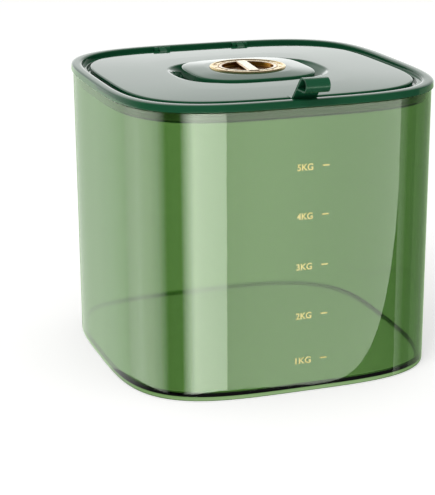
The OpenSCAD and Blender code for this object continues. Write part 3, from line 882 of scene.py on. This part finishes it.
def makeFlipPanel():
    p = panelShape
    square = binShape["squareness"]
    padSquare = padShape["squareness"]
    half, edge, rim, under, well = lid["panel"], lid["edge"], lid["rim"], lid["under"], lid["well"]
    pocket, shelf, pocketZ = lid["pocket"], lid["shelf"], lid["pocketZ"]
    wall = p["pocketWall"]
    pocketOut = pocket + wall
    shelfOut = well + wall
    armZ = under + p["thickness"] / 2
    scoopHalf = well + p["scoop"]
    scoopSquare = padSquare - p["scoopSoftness"]
    ribOut = lid["mouth"] - p["ribGap"]
    ribIn = ribOut - p["ribThickness"]
    ribFoot = under - p["ribHeight"]
    sealOut = half - p["sealInset"]
    sealIn = sealOut - p["sealWidth"]
    sealTop = under + p["grooveDepth"]
    soft, small = frameShape["soft"], frameShape["edge"]
    bottom = arc(pocketOut - wall, pocketZ, wall, -90, 0, 8)
    bottom += [(pocketOut, shelf - wall), (shelfOut, shelf - wall)]
    section = [(ribIn, armZ - root)]
    section += arc(ribIn + small, ribFoot + small, small, 180, 270, 3)
    section += arc(ribOut - small, ribFoot + small, small, -90, 0, 3)
    section += [(ribOut, under), (sealIn, under), (sealIn, sealTop), (sealOut, sealTop), (sealOut, under)]
    section += arc(half - soft, under + soft, soft, -90, 0, 5)
    section += bow(half - 2 * soft, edge - soft, 2 * soft, soft, 0, 90, 8)
    crownOut = half - 2 * soft
    for i in range(1, p["crownSteps"] + 1):
        h = crownOut - (crownOut - p["crownInner"] * half) * i / p["crownSteps"]
        section.append((h, crownLevel(h)))
    rings = squareRings(bottom, padSquare)
    rings.append(ring(scoopHalf + wall, shelfOut + p["scoopSkin"], scoopSquare, rim - p["thickness"]))
    rings += squareRings(section, square)
    # The top runs from the bin's outline into the scoops and the pad's well
    rings += [ring(scoopHalf + aside * mm, well + ahead * mm, scoopSquare, rim - drop * mm)
              for aside, ahead, drop in p["scoopLips"]]
    scoopTop = rim - p["scoopDrop"]
    wellFoot = shelf + soft
    for i in range(p["scoopSteps"] + 1):
        t = i / p["scoopSteps"]
        z = scoopTop + (wellFoot - scoopTop) * (t ** p["scoopPower"])
        wide = well + (1 - t) * p["scoop"]
        rings.append(ring(wide, well + p["scoopDraft"] * (1 - t), scoopSquare + p["scoopSoftness"] * t, z))
    inside = arc(well - soft, wellFoot, soft, 0, -90, 3)[1:]
    inside += [(pocket + small, shelf), (pocket, shelf - small), (pocket, pocketZ)]
    rings += squareRings(inside, padSquare)
    piece = loft("flipPanel", rings)
    h = hingeShape
    back = half - hinge.y
    reach = h["knuckle"] * math.cos(math.radians(45))
    arm = [(back - h["armReach"], edge - hinge.z - h["armDrop"]), (-reach, reach)]
    arm += arc(0, 0, h["knuckle"], 126, -36, steps=18)
    arm += [(back - soft, armZ - hinge.z)]
    outline = [(hinge.y + y, hinge.z + z) for y, z in arm]
    extras = [slab("arm", outline, side * hinge.x, h["knuckleWidth"]) for side in (-1, 1)]
    for quarter in range(4):
        for side in (-1, 1):
            start = shelfOut - root
            end = ribIn + root
            middle = side * p["stiffPitch"] / 2
            rib = block((start, middle - wall / 2, under - p["stiffHeight"]), (end, middle + wall / 2, armZ))
            rib.data.transform(Matrix.Rotation(math.pi / 2 * quarter, 4, "Z"))
            extras.append(rib)
    combine(piece, "UNION", extras)
    cutters = slotCutters(pocket * p["slotReach"], pocketZ - 2 * wall, pocketZ + overcut)
    cutters += [rod(Vector((side * hinge.x, hinge.y, hinge.z)), h["pinHole"], 2 * h["knuckleWidth"])
                for side in (-1, 1)]
    tab = tabShape
    cutters.append(block(
        (-tab["width"] / 2 - fit, -half - overcut, edge - tab["footThickness"] - fit),
        (tab["width"] / 2 + fit, -half + tab["footLength"] + fit, edge + tab["notchHeight"])))
    combine(piece, "DIFFERENCE", cutters)
    slopeWithPanel(piece)
    setPiece(piece, darkGreen, "panel", ["flip_panel"])


makeFlipPanel()

# Pad and dial: levels in the dial are above the floor of the pad's recess
dialShape = {
    "width": 50 * mm,
    "depth": 3.4 * mm,
    "bezelWidth": 5.6 * mm,
    "proud": 1.0 * mm,          # height of the bezel over the pad
    "soft": 0.6 * mm,
    "edge": 0.4 * mm,
    "seat": 0.3 * mm,
    "knobRim": 2.3 * mm,
    "dishFloor": 1.1 * mm,
    "dishRadius": 1.2 * mm,
    "dishInset": 1.5 * mm,      # from the knob's rim to the centre of that radius
    "hub": 0.2 * mm,
    "gripWidth": 7.8 * mm,
    "gripTurn": 84,             # degrees from +X
    "gripRound": 1.2 * mm,
    "gripInset": 1 * mm,        # from the edge of the knob to the ends of the bar
    "gripFoot": 0.3 * mm,       # level and spread of the bar's foot, which is sunk in the dish
    "stem": 4 * mm,
    "monthHeight": 2.3 * mm,
    "monthInk": 0.04 * mm,
}
dialZ = lid["padTop"] - dialShape["depth"]


# Directions round a circle that follow the spacing of the pad's outline
def circle(steps):
    outline = unitOutline(padShape["squareness"], steps)
    return [(x / math.hypot(x, y), y / math.hypot(x, y)) for x, y in outline]


# Level of the pad's top on a square ring of it
def padLevel(half):
    dialRadius = dialShape["width"] / 2
    share = max(0, half - dialRadius) / (lid["pad"] - dialRadius)
    return lid["padEdge"] + padShape["crown"] * (1 - share ** padShape["crownPower"])


def makePad():
    p = padShape
    half, foot, edge = lid["pad"], lid["padFoot"], lid["padEdge"]
    radius = p["sideRadius"]
    deck = dialZ - p["wall"]
    recess = dialShape["width"] / 2 + fit
    section = arc(half - p["edge"], foot + p["edge"], p["edge"], -90, 0, 3)
    section += arc(half - radius, edge - radius, radius, 0, 80, 9)
    reach = half - radius
    for i in range(1, p["crownSteps"] + 1):
        h = reach + (recess + p["land"] - reach) * i / p["crownSteps"]
        section.append((h, padLevel(h)))
    rings = squareRings(section, p["squareness"])
    hole = dialShape["stem"] + fit
    widening, depth = p["recessBreak"]
    for radius, z in ((recess * widening, lid["padTop"]), (recess, lid["padTop"] - depth), (recess, dialZ),
                      (hole, dialZ), (hole, deck)):
        rings.append([(radius * c, radius * s, z) for c, s in circle(outlineSteps)])
    inside = half - p["wall"]
    rings += squareRings([(inside, deck), (inside, foot)], p["squareness"])
    piece = loft("padCover", rings, endless=True)
    slopeWithPanel(piece)
    setPiece(piece, darkGreen, "pad", ["pad_cover"])


makePad()


def makeBezel():
    d = dialShape
    soft, edge = d["soft"], d["edge"]
    outer = d["width"] / 2
    top = d["depth"] + d["proud"]
    inner = outer - d["bezelWidth"] + d["seat"]
    face = top - edge
    lip = outer - 3 * soft
    section = [(inner, 0), (outer, 0)]
    section += arc(outer - soft, top - soft, soft, 0, 90, 8)
    section += arc(lip + edge, face, edge, 90, 180, 4)
    section += [(lip - 2 * fit, face)]
    section += arc(inner + soft, face - soft, soft, 90, 180, 8)
    piece = revolve("dialBezel", section, dialZ)
    slopeWithPanel(piece)
    setPiece(piece, paleGold, "pad", ["dial_bezel"])


def makeKnob():
    d = dialShape
    soft, edge = d["soft"], d["edge"]
    outer = d["width"] / 2 - d["bezelWidth"]
    base = dialZ + d["seat"]
    top = d["depth"] + d["proud"] - soft
    well = outer - d["knobRim"]
    floor = d["dishFloor"]
    section = [(d["hub"], 0), (outer, 0)]
    section += arc(outer - soft, top - soft, soft, 0, 90, 8)
    section += arc(well + edge, top - edge, edge, 90, 180, 4)
    section += arc(well - d["dishInset"], floor + d["dishRadius"], d["dishRadius"], -10, -90, 8)
    section += [(d["hub"], floor)]
    dish = loft("dialKnob", [[(r * c, r * s, base + z) for c, s in circle(roundSteps)] for r, z in section])
    reach = outer - d["gripInset"]
    side = d["gripWidth"] / 2 - d["gripRound"]
    barTop = top + d["seat"] - d["gripRound"]
    spread = d["gripWidth"] / 2 + d["gripFoot"]
    bar = [(-spread, d["gripFoot"]), (spread, d["gripFoot"])]
    bar += arc(side, barTop, d["gripRound"], 0, 90, 8)
    bar += arc(-side, barTop, d["gripRound"], 90, 180, 8)
    grip = slab("grip", bar, 0, 2 * reach)
    turn = Matrix.Rotation(math.radians(d["gripTurn"]), 4, "Z")
    grip.data.transform(Matrix.Translation((0, 0, base)) @ turn)
    ceiling = top + 2 * overcut
    bound = revolve("bound", [(0.0, -overcut), (reach, -overcut), (reach, ceiling), (0.0, ceiling)], base)
    combine(grip, "INTERSECT", [bound])
    combine(dish, "UNION", [grip])
    slopeWithPanel(dish)
    setPiece(dish, deepGold, "dial", ["dial_knob"])


makeBezel()
makeKnob()

# Printing
scaleShape = {
    "marks": {"5KG": 146.1, "4KG": 115.1, "3KG": 82.7, "2KG": 50.6, "1KG": 21.0},
    "textLeft": -6.5 * mm,
    "textRight": 4.0 * mm,
    "textHeight": 4.3 * mm,
    "dash": (10.2 * mm, 14.6 * mm),
    "dashHeight": 0.9 * mm,
    "dashLift": 0.3 * mm,
    "stroke": 0.022,            # how far each stroke is grown, as a share of the letter size
    "smallest": 0.006,          # corners nearer than this share of it are merged
    "ink": 0.06 * mm,
    "gap": 0.005 * mm,          # between the wall and the back of the ink
}
inkHalf = 0.02                  # half the thickness of a letter before it is laid on a surface


def letterMesh(text, width=None, height=None):
    curve = bpy.data.curves.new("letters", "FONT")
    curve.body = text
    curve.align_x = "CENTER"
    curve.align_y = "CENTER"
    curve.resolution_u = 6
    curve.extrude = inkHalf
    curve.offset = scaleShape["stroke"]
    thing = addObject("letters", curve)
    mesh = finishedMesh(thing)
    bpy.data.objects.remove(thing)
    cleanMesh(mesh, scaleShape["smallest"])
    xs = [v.co.x for v in mesh.vertices]
    ys = [v.co.y for v in mesh.vertices]
    tall = max(ys) - min(ys)
    wide = max(xs) - min(xs)
    middle = Vector(((max(xs) + min(xs)) / 2, (max(ys) + min(ys)) / 2, 0))
    scaleY = height / tall
    scaleX = width / wide if width else scaleY
    mesh.transform(Matrix.Diagonal((scaleX, scaleY, 1, 1)) @ Matrix.Translation(-middle))
    return mesh


def joinMeshes(name, meshes):
    build = bmesh.new()
    for mesh in meshes:
        build.from_mesh(mesh)
    mesh = bpy.data.meshes.new(name)
    build.to_mesh(mesh)
    build.free()
    return addObject(name, mesh)


def makeScalePrint():
    s = scaleShape
    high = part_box("bin_body")[1]
    meshes = []
    for text, level in s["marks"].items():
        z = level * mm
        letters = letterMesh(text, s["textRight"] - s["textLeft"], s["textHeight"])
        letters.transform(Matrix.Translation(((s["textLeft"] + s["textRight"]) / 2, z, 0)))
        meshes.append(letters)
        dash = block((s["dash"][0], z - s["dashHeight"] / 2 + s["dashLift"], -inkHalf),
                     (s["dash"][1], z + s["dashHeight"] / 2 + s["dashLift"], inkHalf))
        meshes.append(dash.data)
        bpy.data.objects.remove(dash)
    piece = joinMeshes("scalePrint", meshes)
    square = binShape["squareness"]
    for vertex in piece.data.vertices:
        x, z, depth = vertex.co
        half = high.x - binShape["draft"] * (1 - z / high.z)
        wall = half * (1 - abs(x / half) ** square) ** (1 / square)
        vertex.co = (x, -wall - (s["ink"] if depth > 0 else s["gap"]), z)
    setPiece(piece, printGold, "bin")


def makeMonthPrint():
    d = dialShape
    outer = d["width"] / 2
    inner = outer - d["bezelWidth"] + d["seat"] + d["soft"]
    radius = (inner + outer - 3 * d["soft"]) / 2
    face = dialZ + d["depth"] + d["proud"] - d["edge"]
    meshes = []
    for month in range(1, 13):
        letters = letterMesh(str(month), None, d["monthHeight"])
        for vertex in letters.vertices:
            vertex.co.z = d["monthInk"] if vertex.co.z > 0 else 0
        turn = math.radians(90 - 30 * month)  # clockwise, with 12 at the back
        letters.transform(Matrix.Translation((radius * math.cos(turn), radius * math.sin(turn), face))
                          @ Matrix.Rotation(turn - math.pi / 2, 4, "Z"))
        meshes.append(letters)
    piece = joinMeshes("monthPrint", meshes)
    slopeWithPanel(piece)
    setPiece(piece, printBrown, "pad")


makeScalePrint()
makeMonthPrint()

# Seals
sealShape = {
    "lips": 2,
    "lipSteps": 8,
    "lipPower": 0.7,
    "crush": 0.3 * mm,
}


def makeFrameSeal():
    s = frameShape
    low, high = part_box("frame_seal")
    face = high.x
    inside = face - s["sleeve"] + fit
    pitch = (high.z - low.z) / sealShape["lips"]
    steps = sealShape["lipSteps"]
    section = [(inside, low.z)]
    for i in range(sealShape["lips"] * steps + 1):
        wave = 0.5 - 0.5 * math.cos(2 * math.pi * i / steps)
        depth = s["sleeve"] / 2 * (1 - wave ** sealShape["lipPower"])
        section.append((face - depth, low.z + pitch * i / steps))
    section += [(inside, high.z)]
    setPiece(rail("frameSeal", section, binShape["squareness"]), silicone, "lid", ["frame_seal"])


def makePanelSeal():
    p = panelShape
    outer = lid["panel"] - p["sealInset"] - fit
    inner = outer + 2 * fit - p["sealWidth"]
    top = lid["under"] + p["grooveDepth"]
    middle = (outer + inner) / 2
    section = [(inner, top)]
    section += bow(middle, lid["under"], (outer - inner) / 2, sealShape["crush"], 180, 360, 12)
    section += [(outer, top)]
    piece = rail("panelSeal", section, binShape["squareness"])
    slopeWithPanel(piece)
    setPiece(piece, silicone, "panel", ["panel_seal"])


makeFrameSeal()
makePanelSeal()

# Pieces that keep their frame shape
keptFinish = {
    "hinge_pin_left": steel, "hinge_pin_right": steel, "dial_clip": steel,
    "pad_seal": silicone, "absorber_basket": naturalPlastic, "desiccant_sachet": fleece,
}
for node, material in keptFinish.items():
    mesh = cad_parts[node].data
    mesh.materials.clear()
    mesh.materials.append(material)
print("finishes set on kept pieces")
